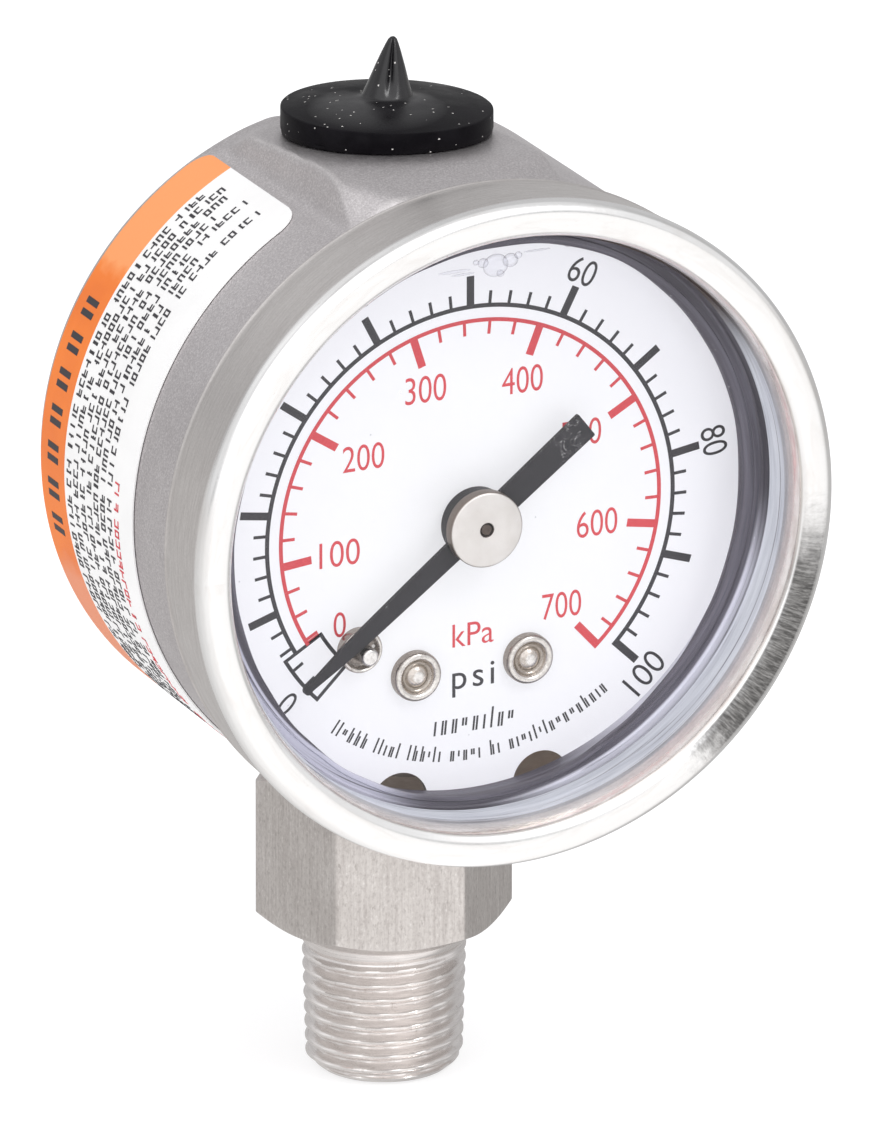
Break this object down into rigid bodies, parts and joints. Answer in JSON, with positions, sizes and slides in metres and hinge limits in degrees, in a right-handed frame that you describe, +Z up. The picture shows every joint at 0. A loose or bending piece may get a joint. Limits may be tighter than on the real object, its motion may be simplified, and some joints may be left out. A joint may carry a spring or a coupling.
{
  "type": "pressure gauge",
  "caption": "Small round liquid-filled pressure gauge with a bottom hexagon and tapered pipe thread, a rubber filling plug on top and a two-scale dial.",
  "frame": {"origin": "at the height of the lower end of the stem, under the middle of the bounding box; the stem axis stands 5.97 mm behind it, at +Y", "axes": "+Z up along the stem, the dial faces -Y, +X is to the right seen from the front"},
  "size_m": [0.0428, 0.0276, 0.0668],
  "materials": {
    "blasted_steel": "bead-blasted matte stainless",
    "polished_steel": "polished stainless",
    "window": "clear",
    "black_rubber": "matt",
    "machined_steel": "machined stainless",
    "dial_white": "white enamel with printed scale",
    "nickel": "nickel plated",
    "pointer_black": "matt black",
    "bronze": "drawn bronze",
    "yellow_brass": "machined",
    "label_paper": "printed film"
  },
  "bodies": {
    "gauge_body": {"bezel_ring": "polished_steel", "bourdon_tube": "bronze", "case": "blasted_steel", "case_label": "label_paper", "case_screw_left": "machined_steel", "case_screw_right": "machined_steel", "dial_plate": "dial_white", "dial_screw_left": "nickel", "dial_screw_right": "nickel", "hairspring": "bronze", "movement_back_plate": "yellow_brass", "movement_front_plate": "yellow_brass", "movement_screw_left": "machined_steel", "movement_screw_right": "machined_steel", "pillar_lower_left": "yellow_brass", "pillar_screw_lower_left": "machined_steel", "pillar_screw_upper_left": "machined_steel", "pillar_screw_upper_right": "machined_steel", "pillar_upper_left": "yellow_brass", "pillar_upper_right": "yellow_brass", "restrictor_screw": "yellow_brass", "socket_gasket": "black_rubber", "socket_stem": "machined_steel", "spring_stud": "yellow_brass", "stop_pin": "nickel", "window_lens": "window", "window_seal": "black_rubber"},
    "pointer": {"pointer_blade": "pointer_black", "pointer_hub": "nickel", "pinion_arbor": "machined_steel", "spring_collet": "yellow_brass"},
    "sector": {"sector_gear": "yellow_brass", "sector_arbor": "machined_steel", "link_pin_sector": "machined_steel"},
    "tip": {"tube_tip": "yellow_brass", "link_pin_tip": "machined_steel"},
    "connecting_link": {"link": "yellow_brass"},
    "plug": {"fill_plug": "black_rubber"}
  },
  "joints": [
    {"name": "pointer_turn", "type": "hinge", "parent": "gauge_body", "child": "pointer", "pos_m": [0, -0.00303, 0.0398], "axis": [0, 1, 0], "range_deg": [0, 265], "deforming": ["hairspring"]},
    {"name": "sector_turn", "type": "hinge", "parent": "gauge_body", "child": "sector", "pos_m": [0.007, -0.00333, 0.0328], "axis": [0, 1, 0], "range_deg": [-26.6, 0.1]},
    {"name": "tip_flex", "type": "hinge", "parent": "gauge_body", "child": "tip", "pos_m": [-0.00331, 0.00537, 0.03637], "axis": [0, 1, 0], "range_deg": [-8.7, 0.1], "deforming": ["bourdon_tube"]},
    {"name": "link_turn", "type": "hinge", "parent": "tip", "child": "connecting_link", "pos_m": [0.01375, -0.00213, 0.03809], "axis": [0, 1, 0], "range_deg": [-0.1, 4.8]},
    {"name": "plug_slide", "type": "slide", "parent": "gauge_body", "child": "plug", "axis": [0.045, 0.1, 0.994], "range_m": [0, 0.006]}
  ],
  "couplings": [
    {"joint": "sector_turn", "follows": "pointer_turn", "ratio": -0.1},
    {"joint": "tip_flex", "follows": "pointer_turn", "ratio": -0.032408},
    {"joint": "link_turn", "follows": "pointer_turn", "ratio": 0.017631}
  ]
}
